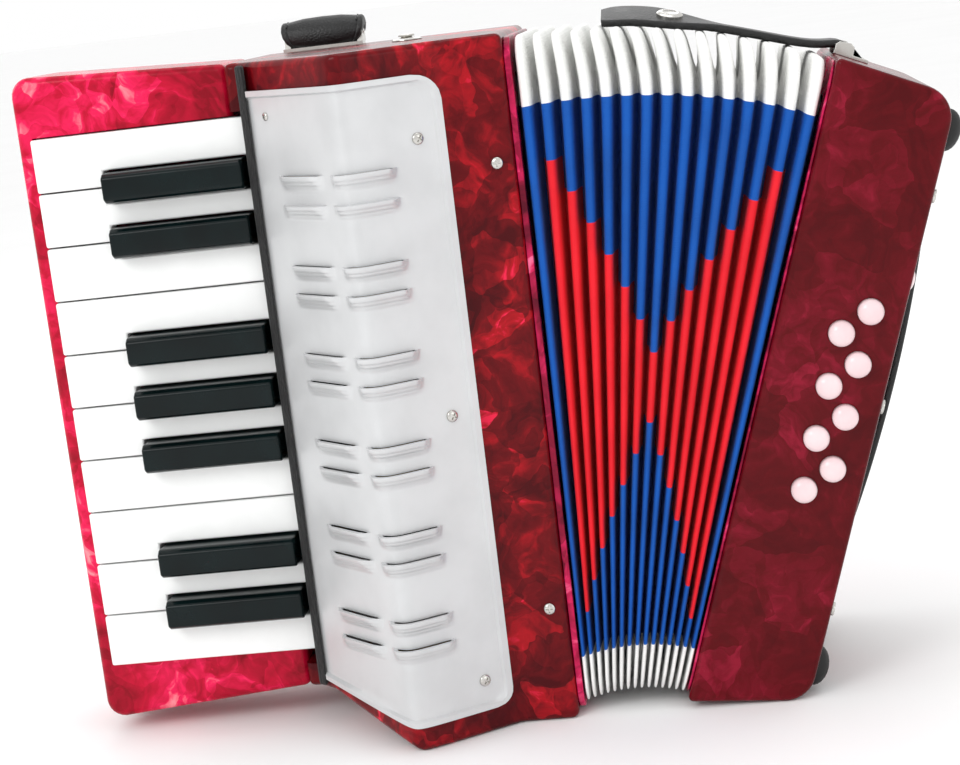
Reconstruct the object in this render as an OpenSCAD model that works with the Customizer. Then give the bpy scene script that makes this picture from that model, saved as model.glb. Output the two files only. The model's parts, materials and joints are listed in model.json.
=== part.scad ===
// Child-size piano accordion with a bent metal grille, standing with its bellows fanned open.
// X runs from the keyboard to the bass casing, -Y is the player's audience side, Z is up.
// Every piece is laid out with the bellows closed and both casings upright. The bellows crests
// and the bass unit are then leaned about one axis at the foot of the bellows, which is where
// the bellows turns when it opens as a fan. The treble unit stays upright on its flat foot.

/* [Treble casing] */
// Height of the treble casing
casing_h = 216; // [208:1:230]
// Width of the treble casing, from the bellows to the keyboard
treble_w = 89; // [84:1:100]
// Depth of casings and bellows behind the middle plane
back_y = 48; // [42:1:56]
// Depth of casings and bellows in front of the middle plane
front_y = 39; // [36:1:42]
// Thickness of the casing walls
wall = 3; // [2.5:0.5:4]
// Distance of the front ridge from the bellows side
ridge_x = 48.5; // [46:0.5:54]
// Reach of the front ridge in front of the middle plane
ridge_y = 60; // [56:1:66]
// Rise of the casing's lower edge from the ridge to the keyboard
foot_rise = 12; // [6:1:12]
// Width of the flat front margin beside the bellows
margin_w = 18; // [14:1:20]

/* [Keyboard] */
// Pitch of the white keys
key_pitch = 17.5; // [16.5:0.1:18.5]
// Visible length of the white keys
white_len = 69; // [62:1:72]
// Distance from the front ends of the white keys to the front ends of the black keys
black_setback = 23; // [20:1:28]
// Width of a black key at its foot
black_w = 9.6; // [8.6:0.1:10]
// Height of a black key above the white keys
black_h = 8; // [6:0.5:9]
// Width of the keyboard housing beyond the key ends
housing_margin = 5.5; // [4:0.5:8]
// Height of the keyboard's middle
keyboard_mid = 112; // [110:1:113]
// Height of the keyboard housing's lower edge at its free end
housing_low = 5; // [3:1:10]
// Height of the keyboard housing's upper edge at its free end
housing_high = 219; // [216:1:222]
// Angle through which a key is pressed
key_travel = 2.7; // [2:0.1:3]

/* [Bellows] */
// Angle between the two casings
fan = 18.1; // [10:0.1:26]
// Number of bellows crests, each a node of its own
crest_count = 15; // [15]
// Distance from crest to crest when closed
crest_pitch = 1.9; // [1.8:0.05:2.4]
// Thickness of one crest frame
crest_t = 1.4; // [1.2:0.1:1.5]
// Depth of a fold, from its crest inwards
fold_depth = 13; // [10:1:16]
// Width of the treble bellows frame
treble_frame_w = 3; // [2.5:0.5:5]
// Width of the bass bellows frame
bass_frame_w = 2; // [1.5:0.5:3]

/* [Bass casing] */
// Width of the bass casing
bass_w = 37; // [36:1:44]
// Height of the bass casing's upper edge beside the bellows
bass_top = 212.8; // [208:0.2:216]
// Slope of the bass casing's upper edge
bass_slope_high = 6.2; // [0:0.2:10]
// Slope of the bass casing's lower edge
bass_slope_low = 13.8; // [10:0.2:16]
// Radius of the outer corners of the bass casing
bass_r = 10; // [8:1:11]
// Diameter of a bass button
button_d = 8; // [7:0.5:8]
// Pitch of the buttons in one column
button_pitch = 16.6; // [15:0.2:20]
// Travel of a bass button
button_travel = 3; // [2:0.5:3]

/* [Straps] */
// Width of the shoulder strap
shoulder_strap_w = 23; // [18:1:25]
// Width of the hand strap
hand_strap_w = 23; // [22:1:27]
// Thickness of the straps
strap_t = 2.5; // [2:0.1:3]

/* [Hidden] */
$fn = 48;
eps = 0.01;

// Where the parts meet along X, with the bellows closed
pleat_x = treble_frame_w;
bass_frame_x = pleat_x + (crest_count + 1) * crest_pitch;
bass_x = bass_frame_x + bass_frame_w;
end_x = bass_x + bass_w;
end_plate_t = 2.5;

// Keyboard, measured from its middle
key_tip_x = -treble_w + 4 - white_len;
key_end_x = -treble_w + 4;
housing_x = key_tip_x - housing_margin;
housing_front_y = -17;
housing_back_y = 22;
housing_r = 5;
white_count = 10;
black_after = [1, 2, 4, 5, 6, 8, 9];
key_top_y = -21;
key_foot_y = -13.5;
key_bed_y = -9;
key_gap = 0.5;
key_recess_gap = 0.4;
neck_cut = black_w / 2 + 0.5;
black_neck_w = 6;
axle_x = -66;
axle_y = -15;
axle_r = 1.25;
axle_clearance = 0.05;
axle_socket = 6;
boss_r = 3.2;
pallet_x = -46;
pallet_l = 14;
pallet_w = 7.8;
board_y = -7;
board_t = 4;
chamber_back_y = -1;
end_block_low = 17;
end_block_high = 13;
axle_low = end_block_low - axle_socket;

// Distance from the bellows at which the lower edge has risen to its full height
rise_x = -79;

// Front of the treble casing, seen from above: left facet, ridge, right facet, flat margin
facet_start = [key_end_x, key_top_y - 0.6];
ridge = [-ridge_x, -ridge_y];
facet_end = [-margin_w, -front_y];
left_slope = (ridge[1] - facet_start[1]) / (ridge[0] - facet_start[0]);
right_slope = (facet_end[1] - ridge[1]) / (facet_end[0] - ridge[0]);
function left_facet_y(x) = facet_start[1] + left_slope * (x - facet_start[0]);
function right_facet_y(x) = ridge[1] + right_slope * (x - ridge[0]);

// Grille
grille_t = 1.5;
grille_left = key_end_x + 3.5;
grille_right = -20;
grille_low = 8.5;
grille_high = casing_h - 9;
grille_rise = 8;
rim_w = 1.6;
rim_h = 1;
slot_clusters = 6;
slot_cluster_pitch = 27.6;
slot_mid_z = 106;
slot_row_offset = 4.4;
slot_h = 2.4;
screw_r = 2.2;
screw_h = 1.2;
grille_screw_z = [18, 103, 188];
pin_z = [37, 177.5];

// Bass
button_r = button_d / 2;
button_clearance = 0.1;
button_proud = 3.5;
button_depth = 11;
button_rows = 4;
button_column_x = [end_x - 10.2, end_x - 17.2];
button_mid_z = 112;
air_button_y = -16;
air_button_z = 150;
foot_r = 6.5;
foot_h = 4.5;
foot_seat = 2;
foot_y = [-28, 40];

// Bellows strap, lying across the top from the bass casing to the treble casing
strap_pin_x = bass_x + 4;
strap_pin_z = casing_h - 1.1;
strap_pin_r = 1.1;
strap_pin_clearance = 0.05;
strap_loop_r = 2;
bellows_strap_y = [-4, 14];
bellows_strap_rise = 3.6;
bellows_strap_t = 2.2;
bellows_strap_len = 77;
stud_x = -34;
stud_y = 5;
stud_top = casing_h + 2.1;

// Shoulder strap on the back of the treble casing
shoulder_strap_x = -79;
strap_bow = 20;
strap_top_z = casing_h + 2;
strap_foot_z = 19;
strap_end_y = back_y + 2.8;
strap_top_loop = [back_y - 1, casing_h + 4.2];
strap_foot_loop = [back_y + 4, strap_foot_z];
strap_loop_out = 4;
strap_bar_r = 1.4;

// Hand strap on the end of the bass casing
hand_strap_y = 9;
hand_strap_bow = 6;
hand_strap_half = 76;

// Axis about which the bellows opens
pivot_x = pleat_x + (crest_count + 1) * crest_pitch / 2;
pivot_z = 8;

// Outer corners of the bass casing. The treble casing stands on its flat foot, and the height
// of the lower corner is such that it touches the same surface with the bellows fanned open.
bass_corner_x = end_x - bass_r;
bass_low_c = [bass_corner_x, pivot_z
              + (bass_r - pivot_z + (bass_corner_x - pivot_x) * sin(fan)) / cos(fan)];
bass_high_c = [bass_corner_x, bass_top - (bass_corner_x - bass_x) * tan(bass_slope_high)
               - bass_r / cos(bass_slope_high)];
bass_mid_z = (bass_low_c[1] + bass_high_c[1]) / 2;
foot_z = [bass_low_c[1] + 1, bass_high_c[1] - 2];
bass_low_edge = bass_low_z(bass_x, 0);
function bass_low_z(x, inset) = bass_low_c[1] - (bass_r - inset) / cos(bass_slope_low)
    - (bass_corner_x - x) * tan(bass_slope_low);
function bass_high_z(x, inset) = bass_high_c[1] + (bass_r - inset) / cos(bass_slope_high)
    + (bass_corner_x - x) * tan(bass_slope_high);
function leaned_x(p) = p[0] * cos(fan) + p[1] * sin(fan);

// The origin is on the surface, under the middle of the whole object
left_reach = housing_x - pivot_x;
foot_tip = [end_x + foot_h - pivot_x, foot_z[1] + foot_r - 1.5 - pivot_z];
right_reach = leaned_x(foot_tip);
front_reach = -ridge_y - grille_t - rim_h;
back_reach = strap_end_y + strap_bow;
origin_x = (left_reach + right_reach) / 2;
origin_y = (front_reach + back_reach) / 2;

// Leans its children about the bellows axis, positive towards the bass side
module leaned(a) {
    translate([-origin_x, -origin_y, pivot_z])
        rotate([0, a, 0])
            translate([-pivot_x, 0, -pivot_z])
                children();
}

module treble_side() {
    leaned(0) children();
}

module bass_side() {
    leaned(fan) children();
}

// Outline with rounded corners, from the low corner a to the high corner b
module rounded_outline(a, b, r) {
    translate([a[0] + r, a[1]])
        square([b[0] - a[0] - 2 * r, b[1] - a[1]]);
    translate([a[0], a[1] + r])
        square([b[0] - a[0], b[1] - a[1] - 2 * r]);
    for (x = [a[0] + r, b[0] - r], y = [a[1] + r, b[1] - r])
        translate([x, y])
            circle(r);
}

// Box from its low corner to its high corner
module block(low, high) {
    translate(low)
        cube(high - low);
}

// Extrudes an outline drawn in X and Z from y0 back to y1
module along_y(y0, y1) {
    translate([0, y1, 0])
        rotate([90, 0, 0])
            linear_extrude(y1 - y0)
                children();
}

// Extrudes an outline drawn in Y and Z from x0 to x1
module along_x(x0, x1) {
    translate([x0, 0, 0])
        rotate([90, 0, 90])
            linear_extrude(x1 - x0)
                children();
}

// Extrudes an outline drawn in X and Y from z0 to z1
module along_z(z0, z1) {
    translate([0, 0, z0])
        linear_extrude(z1 - z0)
            children();
}

// Part of a curved band: an arc of the given bow, standing on a chord along the second axis
module bowed_band(end, half, bow, t) {
    r = (half * half + bow * bow) / (2 * bow);
    intersection() {
        translate([end[0] + bow - r, end[1]])
            difference() {
                circle(r, $fn = 180);
                circle(r - t, $fn = 180);
            }
        translate([end[0] - t - 1, end[1] - half])
            square([bow + t + 2, 2 * half]);
    }
}

module treble_casing() {
    air_front_x = -margin_w + 4;
    inner_x = -treble_w + wall;
    inner_high = casing_h - wall;
    color("crimson") treble_side() difference() {
        along_z(0, casing_h)
            polygon([[0, back_y], [-treble_w, back_y], [-treble_w, facet_start[1]],
                     facet_start, ridge, facet_end, [0, -front_y]]);
        // lower edge, rising towards the keyboard
        along_y(-ridge_y - 1, back_y + 1)
            polygon([[-treble_w - 1, -1], [-treble_w - 1, foot_rise], [rise_x, foot_rise],
                     [-ridge_x, 0], [-ridge_x, -1]]);
        // action chamber behind the grille
        along_z(end_block_low, casing_h - end_block_high)
            polygon([[1, chamber_back_y], [inner_x, chamber_back_y], [inner_x, key_top_y + 3],
                     [-ridge_x, -ridge_y + 1.8 * wall], [-margin_w, -front_y + wall],
                     [1, -front_y + wall]]);
        // air chambers, open to the bellows
        along_y(chamber_back_y - eps, back_y - wall)
            polygon([[inner_x, foot_rise + wall], [rise_x, foot_rise + wall], [-ridge_x, wall],
                     [1, wall], [1, inner_high], [inner_x, inner_high]]);
        block([air_front_x, -front_y + wall, wall], [1, chamber_back_y, inner_high]);
        // opening that the grille and the keys cover
        block([-treble_w - 1, -ridge_y - 1, end_block_low + 3],
              [-margin_w - 8, key_bed_y, casing_h - end_block_high - 2]);
        // sockets for the key axle
        for (z = [axle_low, casing_h - end_block_high - eps])
            translate([axle_x, axle_y, z])
                cylinder(r = axle_r + axle_clearance, h = axle_socket + eps);
    }
}

module treble_soundboard() {
    x0 = -treble_w + wall;
    x1 = -margin_w + 4;
    z1 = casing_h - end_block_high;
    color("burlywood") treble_side() difference() {
        union() {
            block([x0, board_y, end_block_low], [x1, board_y + board_t, z1]);
            block([x1 - wall, -front_y + wall, end_block_low], [x1, board_y + eps, z1]);
        }
        for (i = [1 : white_count])
            pallet_hole(white_neck_mid(i));
        for (i = black_after)
            pallet_hole(key_line(i));
    }
}

module pallet_hole(z) {
    margin = 2;
    block([pallet_x + margin, board_y - 1, z - pallet_w / 2 + margin],
          [pallet_x + pallet_l - margin, board_y + board_t + 1, z + pallet_w / 2 - margin]);
}

// Outline of the keyboard housing in X and Z; its edges converge towards the casing
module housing_outline() {
    join_x = -treble_w;
    intersection() {
        rounded_outline([housing_x, housing_low], [join_x + housing_r, housing_high], housing_r);
        polygon([[housing_x, housing_low], [join_x, foot_rise - 1],
                 [join_x, casing_h], [housing_x, housing_high]]);
    }
}

module keyboard_housing() {
    color("crimson") treble_side() difference() {
        along_y(housing_front_y, housing_back_y)
            housing_outline();
        block([key_tip_x - key_recess_gap, housing_front_y - 1,
               key_line(white_count) - key_recess_gap],
              [-treble_w + 1, key_bed_y, key_line(0) + key_recess_gap]);
    }
}

module key_axle() {
    color("silver") treble_side()
        translate([axle_x, axle_y, axle_low])
            cylinder(r = axle_r, h = casing_h - end_block_high + axle_socket - axle_low - 0.1);
}

module key_felt_strip() {
    x1 = grille_left;
    color("black") treble_side()
        along_z(foot_rise + 2, casing_h - 1)
            polygon([facet_start, [x1, left_facet_y(x1)], [x1, left_facet_y(x1) - 4],
                     [facet_start[0], facet_start[1] - 8]]);
}

module grille_profile(extra) {
    polygon([[grille_left, left_facet_y(grille_left)], ridge,
             [grille_right, right_facet_y(grille_right)],
             [grille_right, right_facet_y(grille_right) - grille_t - extra],
             [ridge[0], ridge[1] - grille_t - extra],
             [grille_left, left_facet_y(grille_left) - grille_t - extra]]);
}

module grille() {
    color("gainsboro") treble_side() difference() {
        union() {
            along_z(grille_low, grille_high)
                grille_profile(0);
            along_z(grille_low, grille_low + rim_w)
                grille_profile(rim_h);
            along_z(grille_high - rim_w, grille_high)
                grille_profile(rim_h);
            intersection() {
                along_z(grille_low, grille_high)
                    grille_profile(rim_h);
                block([grille_right - rim_w, -ridge_y, grille_low],
                      [grille_right, 0, grille_high]);
            }
        }
        // lower edge, rising with that of the casing
        along_y(-ridge_y - 10, 0)
            polygon([[grille_left - 1, grille_low - 1], [grille_left - 1, grille_low + grille_rise],
                     [grille_left, grille_low + grille_rise], [-ridge_x, grille_low],
                     [-ridge_x, grille_low - 1]]);
        for (c = [0 : slot_clusters - 1], side = [-1, 1]) {
            z = slot_mid_z + (c - (slot_clusters - 1) / 2) * slot_cluster_pitch
                + side * slot_row_offset;
            block([-71, -ridge_y - 5, z - slot_h / 2], [-57, -20, z + slot_h / 2]);
            block([-46, -ridge_y - 5, z - slot_h / 2], [-35, -30, z + slot_h / 2]);
        }
    }
}

// Low round screw head on a surface that faces the front, turned by a about Z
module front_screw(x, y, z, a) {
    translate([x, y, z])
        rotate([0, 0, a])
            rotate([90, 0, 0])
                cylinder(r = screw_r, h = screw_h);
}

module treble_screws() {
    x = grille_right - 7.5;
    pin_x = -5.5;
    left_x = -75;
    color("silver") treble_side() {
        for (z = grille_screw_z)
            front_screw(x, right_facet_y(x) - grille_t, z, atan(right_slope));
        front_screw(left_x, left_facet_y(left_x) - grille_t, 199, atan(left_slope));
        for (z = pin_z) {
            front_screw(pin_x, -front_y, z, 0);
            front_screw(pin_x, back_y, z, 180);
        }
    }
}

// Rectangular frame round the bellows, with rounded corners, from height z0 to height z1
module bellows_ring(x0, x1, z0, z1, inset) {
    corner = 8;
    low = [-front_y + inset, z0];
    high = [back_y - inset, z1];
    depth = [fold_depth, fold_depth];
    along_x(x0, x1) difference() {
        rounded_outline(low, high, corner);
        rounded_outline(low + depth, high - depth, 2);
    }
}

module bellows_frame_treble() {
    color("deeppink") treble_side()
        bellows_ring(0, treble_frame_w, 0.5, casing_h - 0.5, 0.5);
}

module bellows_frame_bass() {
    color("deeppink") bass_side()
        bellows_ring(bass_frame_x, bass_x, bass_low_edge + 0.5, bass_top - 0.5, 0.5);
}

module treble_reed_block() {
    cell_count = 8;
    low_z = 26;
    high_z = casing_h - 26;
    cell_pitch = (high_z - low_z) / cell_count;
    y0 = board_y + board_t;
    color("burlywood") treble_side() difference() {
        block([-58, y0, low_z], [-20, back_y - 16, high_z]);
        for (i = [0 : cell_count - 1], x = [-59, -36])
            block([x, y0 + 6, low_z + i * cell_pitch + 3],
                  [x + 17, back_y - 20, low_z + (i + 1) * cell_pitch - 3]);
    }
}

module strap_bar(p) {
    translate([shoulder_strap_x - 2, p[0], p[1]])
        rotate([0, 90, 0])
            cylinder(r = strap_bar_r, h = shoulder_strap_w + 4);
}

module strap_hardware() {
    lug_w = 2;
    plate_t = 1.2;
    x0 = shoulder_strap_x - lug_w;
    x1 = shoulder_strap_x + shoulder_strap_w;
    color("silver") treble_side() {
        // snap stud for the bellows strap
        translate([stud_x, stud_y, casing_h]) {
            cylinder(r = 5, h = 0.8);
            cylinder(r = 1.8, h = stud_top - casing_h);
        }
        translate([stud_x, stud_y, stud_top - 1])
            cylinder(r = 2.6, h = 1);
        // upper strap bracket
        block([x0, back_y - 16, casing_h], [x1 + lug_w, back_y - 6, casing_h + plate_t]);
        for (x = [x0, x1])
            block([x, back_y - 10, casing_h], [x + lug_w, back_y, casing_h + 6.5]);
        strap_bar(strap_top_loop);
        // lower strap bracket
        for (x = [x0, x1])
            block([x, back_y, strap_foot_z - 3], [x + lug_w, back_y + 6, strap_foot_z + 3]);
        strap_bar(strap_foot_loop);
    }
}

module shoulder_strap() {
    half = (strap_top_z - strap_foot_z) / 2;
    inner_r = strap_bar_r + 0.05;
    color("dimgray") treble_side()
        along_x(shoulder_strap_x + 0.1, shoulder_strap_x + shoulder_strap_w - 0.1)
            difference() {
                union() {
                    translate(strap_top_loop)
                        circle(strap_loop_out);
                    translate(strap_foot_loop)
                        circle(strap_loop_out - 0.5);
                    bowed_band([strap_end_y, strap_foot_z + half], half, strap_bow, strap_t);
                }
                translate(strap_top_loop)
                    circle(inner_r);
                translate(strap_foot_loop)
                    circle(inner_r);
            }
}

// Height of the line below white key i, where key 1 is the uppermost
function key_line(i) = keyboard_mid + (white_count / 2 - i) * key_pitch;
function has_black(i) = len(search(i, black_after)) > 0;
function white_neck_high(i) = key_line(i - 1) - (has_black(i - 1) ? neck_cut : key_gap / 2);
function white_neck_low(i) = key_line(i) + (has_black(i) ? neck_cut : key_gap / 2);
function white_neck_mid(i) = (white_neck_high(i) + white_neck_low(i)) / 2;

// Lever of a key behind its playing surface: neck, bearing boss, arm and pallet
module key_lever(x0, low, high) {
    mid = (low + high) / 2;
    neck_top = key_top_y + 1;
    arm_w = 4;
    block([x0, neck_top, low], [axle_x + 2, key_foot_y, high]);
    translate([axle_x, axle_y, low])
        cylinder(r = boss_r, h = high - low);
    block([axle_x, axle_y - 1.5, mid - arm_w / 2],
          [pallet_x + pallet_l, axle_y + 1.5, mid + arm_w / 2]);
    block([pallet_x + 5, axle_y, mid - arm_w / 2], [pallet_x + 9, board_y - 2, mid + arm_w / 2]);
    block([pallet_x, board_y - 3, mid - pallet_w / 2],
          [pallet_x + pallet_l, board_y - 0.1, mid + pallet_w / 2]);
}

module key_bore(low, high) {
    translate([axle_x, axle_y, low - 1])
        cylinder(r = axle_r + axle_clearance, h = high - low + 2);
}

module white_key(i) {
    low = key_line(i) + key_gap / 2;
    high = key_line(i - 1) - key_gap / 2;
    neck_low = white_neck_low(i);
    neck_high = white_neck_high(i);
    notch_x = key_tip_x + black_setback - 1;
    color("ivory") treble_side() difference() {
        union() {
            block([key_tip_x, key_top_y, low], [notch_x, key_foot_y, high]);
            block([notch_x - 1, key_top_y, neck_low], [key_end_x + 1, key_foot_y, neck_high]);
            key_lever(key_end_x, neck_low, neck_high);
        }
        key_bore(neck_low, neck_high);
    }
}

module black_key(i) {
    z = key_line(black_after[i - 1]);
    x0 = key_tip_x + black_setback;
    x1 = key_end_x - 1;
    top_y = key_top_y - black_h;
    half = black_w / 2;
    top_half = half - 1.3;
    color("black") treble_side() difference() {
        union() {
            along_x(x0, x1)
                polygon([[key_foot_y, z - half], [key_foot_y, z + half], [top_y + 2, z + half],
                         [top_y, z + top_half], [top_y, z - top_half], [top_y + 2, z - half]]);
            key_lever(x1 - 1, z - black_neck_w / 2, z + black_neck_w / 2);
        }
        key_bore(z - black_neck_w / 2, z + black_neck_w / 2);
    }
}

// The crests step from the height of the treble casing to that of the bass casing
module pleat(i) {
    x = pleat_x + i * crest_pitch;
    share = i / (crest_count + 1);
    z0 = 3 + (bass_low_edge - 2) * share;
    z1 = casing_h - 1.5 + (bass_top - casing_h) * share;
    color(i % 2 == 0 ? "royalblue" : "dodgerblue")
        leaned(fan * share)
            bellows_ring(x - crest_t / 2, x + crest_t / 2, z0, z1, 1.5);
}

// Button 1 is the uppermost; the two columns alternate
function button_x(i) = button_column_x[(i - 1) % 2];
function button_z(i) = button_mid_z + (button_rows - 0.5 - (i - 1)) * button_pitch / 2;

module bass_button(i) {
    color("white") bass_side()
        along_y(-front_y - button_proud, -front_y - button_proud + button_depth)
            translate([button_x(i), button_z(i)])
                circle(button_r);
}

// Outline of the bass unit in X and Z: tapered towards the end, with rounded outer corners
module bass_outline(inset) {
    r = bass_r - inset;
    start_x = bass_x - 20;
    polygon([[start_x, bass_low_z(start_x, inset)],
             bass_low_c + r * [sin(bass_slope_low), -cos(bass_slope_low)],
             bass_low_c + [r, 0],
             bass_high_c + [r, 0],
             bass_high_c + r * [sin(bass_slope_high), cos(bass_slope_high)],
             [start_x, bass_high_z(start_x, inset)]]);
    for (c = [bass_low_c, bass_high_c])
        translate(c)
            circle(r);
}

// The part of the bass outline between two distances along X
module bass_slice(inset, x0, x1) {
    intersection() {
        bass_outline(inset);
        translate([x0, 0])
            square([x1 - x0, casing_h]);
    }
}

module bass_casing() {
    plate_x = end_x - end_plate_t;
    color("firebrick") bass_side() difference() {
        along_y(-front_y, back_y)
            bass_slice(0, bass_x, plate_x);
        along_y(-front_y + wall, back_y - wall) {
            bass_outline(wall);
            translate([plate_x - 2, bass_low_c[1]])
                square([4, bass_high_c[1] - bass_low_c[1]]);
        }
        for (i = [1 : 2 * button_rows])
            along_y(-front_y - 1, -front_y + wall + 1)
                translate([button_x(i), button_z(i)])
                    circle(button_r + button_clearance);
    }
}

module bass_end_plate() {
    plate_x = end_x - end_plate_t;
    color("firebrick") bass_side() difference() {
        along_y(-front_y, back_y)
            bass_slice(0, plate_x, end_x);
        translate([plate_x - 1, air_button_y, air_button_z])
            rotate([0, 90, 0])
                cylinder(r = button_r + button_clearance, h = end_plate_t + 2);
        // seats of the rubber feet
        for (y = foot_y, z = foot_z)
            translate([end_x - foot_seat, y, z])
                rotate([0, 90, 0])
                    cylinder(r = foot_r, h = foot_seat + 1);
    }
}

module air_button() {
    color("white") bass_side()
        translate([end_x - 6, air_button_y, air_button_z])
            rotate([0, 90, 0])
                cylinder(r = button_r, h = 9.5);
}

module bass_reed_block() {
    board_x = bass_x + 10;
    board_w = 2.5;
    low_z = 42;
    high_z = 182;
    cells = 6;
    pitch = (high_z - low_z) / cells;
    color("burlywood") bass_side() {
        along_y(-front_y + wall, back_y - wall)
            bass_slice(wall, board_x, board_x + board_w);
        difference() {
            block([bass_x + 3, -16, low_z], [board_x, 24, high_z]);
            for (i = [0 : cells - 1], y = [-17, 9])
                block([bass_x + 5, y, low_z + i * pitch + 3],
                      [board_x - 1, y + 16, low_z + (i + 1) * pitch - 3]);
        }
    }
}

module bass_feet() {
    color("black") bass_side()
        for (y = foot_y, z = foot_z)
            translate([end_x - foot_seat, y, z])
                rotate([0, 90, 0]) {
                    cylinder(r = foot_r, h = foot_seat + foot_h - 1.5);
                    cylinder(r = foot_r - 1.5, h = foot_seat + foot_h);
                }
}

module hand_strap() {
    y1 = hand_strap_y + hand_strap_w;
    pad = 6;
    color("dimgray") bass_side()
        along_y(hand_strap_y, y1) {
            bowed_band([end_x + strap_t, bass_mid_z], hand_strap_half, hand_strap_bow, strap_t);
            for (z = [bass_mid_z - hand_strap_half - pad, bass_mid_z + hand_strap_half - 1])
                translate([end_x, z])
                    square([strap_t, pad + 1]);
        }
}

module bass_hardware() {
    y0 = hand_strap_y - 1;
    y1 = hand_strap_y + hand_strap_w + 1;
    plate_t = 1.2;
    lug_t = 2;
    lug_x = strap_pin_x - 3;
    strap_y0 = bellows_strap_y[0];
    strap_y1 = bellows_strap_y[1];
    end_screw_z = 66;
    color("silver") bass_side() {
        // clamps over the ends of the hand strap
        for (z = [bass_mid_z - hand_strap_half - 6, bass_mid_z + hand_strap_half + 1]) {
            block([end_x + strap_t, y0, z], [end_x + strap_t + plate_t, y1, z + 5]);
            for (y = [y0 + 6, y1 - 6])
                translate([end_x + strap_t + plate_t, y, z + 2.5])
                    rotate([0, 90, 0])
                        cylinder(r = 1.8, h = 1);
        }
        // screws of the end plate
        for (y = [-front_y + 6, back_y - 6], dz = [-end_screw_z, 0, end_screw_z])
            translate([end_x, y, bass_mid_z + dz])
                rotate([0, 90, 0])
                    cylinder(r = screw_r, h = screw_h);
        // bellows pins
        for (z = pin_z)
            front_screw(bass_x + 5.5, back_y, z, 180);
        // hinge bracket of the bellows strap
        along_y(strap_y0 - 3, strap_y1 + 3)
            strap_bracket(strap_pin_x + 3, lug_x + 11, plate_t);
        for (y = [strap_y0 - 3, strap_y1 + 1])
            along_y(y, y + lug_t) {
                strap_bracket(lug_x, lug_x + 11, plate_t);
                polygon([[lug_x, bass_high_z(lug_x, 0)], [lug_x, strap_pin_z + 0.8],
                         [lug_x + 1.2, strap_pin_z + 1.8], [lug_x + 4.8, strap_pin_z + 1.8],
                         [lug_x + 6, strap_pin_z + 0.8], [lug_x + 6, bass_high_z(lug_x + 6, 0)]]);
            }
        translate([strap_pin_x, strap_y0 - 2, strap_pin_z])
            rotate([-90, 0, 0])
                cylinder(r = strap_pin_r, h = strap_y1 - strap_y0 + 4);
    }
}

// Plate of thickness t on the sloping top of the bass casing
module strap_bracket(x0, x1, t) {
    polygon([[x0, bass_high_z(x0, 0)], [x0, bass_high_z(x0, 0) + t],
             [x1, bass_high_z(x1, 0) + t], [x1, bass_high_z(x1, 0)]]);
}

module bellows_strap() {
    color("dimgray") bass_side()
        along_y(bellows_strap_y[0], bellows_strap_y[1])
            translate([strap_pin_x, strap_pin_z])
                difference() {
                    union() {
                        circle(strap_loop_r);
                        rotate(-bellows_strap_rise)
                            translate([-bellows_strap_len, -bellows_strap_t / 2])
                                square([bellows_strap_len - strap_pin_r - 0.3, bellows_strap_t]);
                    }
                    circle(strap_pin_r + strap_pin_clearance);
                }
}

treble_casing();
treble_soundboard();
keyboard_housing();
key_axle();
key_felt_strip();
grille();
treble_screws();
bellows_frame_treble();
treble_reed_block();
strap_hardware();
shoulder_strap();
for (i = [1 : white_count])
    white_key(i);
for (i = [1 : len(black_after)])
    black_key(i);
for (i = [1 : crest_count])
    pleat(i);
for (i = [1 : 2 * button_rows])
    bass_button(i);
bass_casing();
bass_end_plate();
bellows_frame_bass();
bass_reed_block();
hand_strap();
bass_feet();
bass_hardware();
air_button();
bellows_strap();

// Name of a repeated piece, with its number in two digits
function numbered(stem, i) = str(stem, i < 10 ? "0" : "", i);
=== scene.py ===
"""Piano accordion, standing with its bellows fanned open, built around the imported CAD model.

Shapes are laid out in millimetres in the closed instrument: X from the bellows side of the
treble casing towards the bass, Y back from the middle plane, Z up. LEAN matrices turn them into
metres in the row frame, with the bellows opened as a fan.
"""
import json
import math

import bmesh
import bpy
import numpy as np
from mathutils import Matrix, Vector


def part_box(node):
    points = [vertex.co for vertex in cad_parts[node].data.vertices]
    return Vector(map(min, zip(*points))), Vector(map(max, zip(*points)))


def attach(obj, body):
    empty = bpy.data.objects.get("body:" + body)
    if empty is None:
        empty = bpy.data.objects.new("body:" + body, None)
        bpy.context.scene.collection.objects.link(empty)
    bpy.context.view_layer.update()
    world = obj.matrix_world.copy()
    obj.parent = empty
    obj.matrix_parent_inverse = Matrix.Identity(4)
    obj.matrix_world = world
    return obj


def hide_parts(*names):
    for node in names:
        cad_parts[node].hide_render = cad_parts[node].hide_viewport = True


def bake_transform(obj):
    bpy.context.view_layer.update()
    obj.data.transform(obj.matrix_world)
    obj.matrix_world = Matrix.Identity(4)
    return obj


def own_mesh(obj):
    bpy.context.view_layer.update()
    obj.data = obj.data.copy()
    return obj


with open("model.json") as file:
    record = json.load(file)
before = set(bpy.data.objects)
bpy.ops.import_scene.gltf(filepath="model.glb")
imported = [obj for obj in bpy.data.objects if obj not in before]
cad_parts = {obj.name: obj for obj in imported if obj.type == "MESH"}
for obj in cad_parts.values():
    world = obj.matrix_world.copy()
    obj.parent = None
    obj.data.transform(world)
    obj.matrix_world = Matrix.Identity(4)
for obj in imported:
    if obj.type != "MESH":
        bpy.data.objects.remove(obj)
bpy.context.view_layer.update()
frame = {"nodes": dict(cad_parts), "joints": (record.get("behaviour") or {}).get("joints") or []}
nodes = frame["nodes"]
scene = bpy.context.scene

MM = 0.001
CRESTS = 15

# ---------- frame of the closed instrument
fan_joint = next(j for j in frame["joints"] if j["name"] == "bellows_fan")
pivot = Vector(fan_joint["pos_m"])
fan_angle = math.radians(-fan_joint["range_deg"][0])
bellows_side_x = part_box("treble_casing")[1].x


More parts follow.
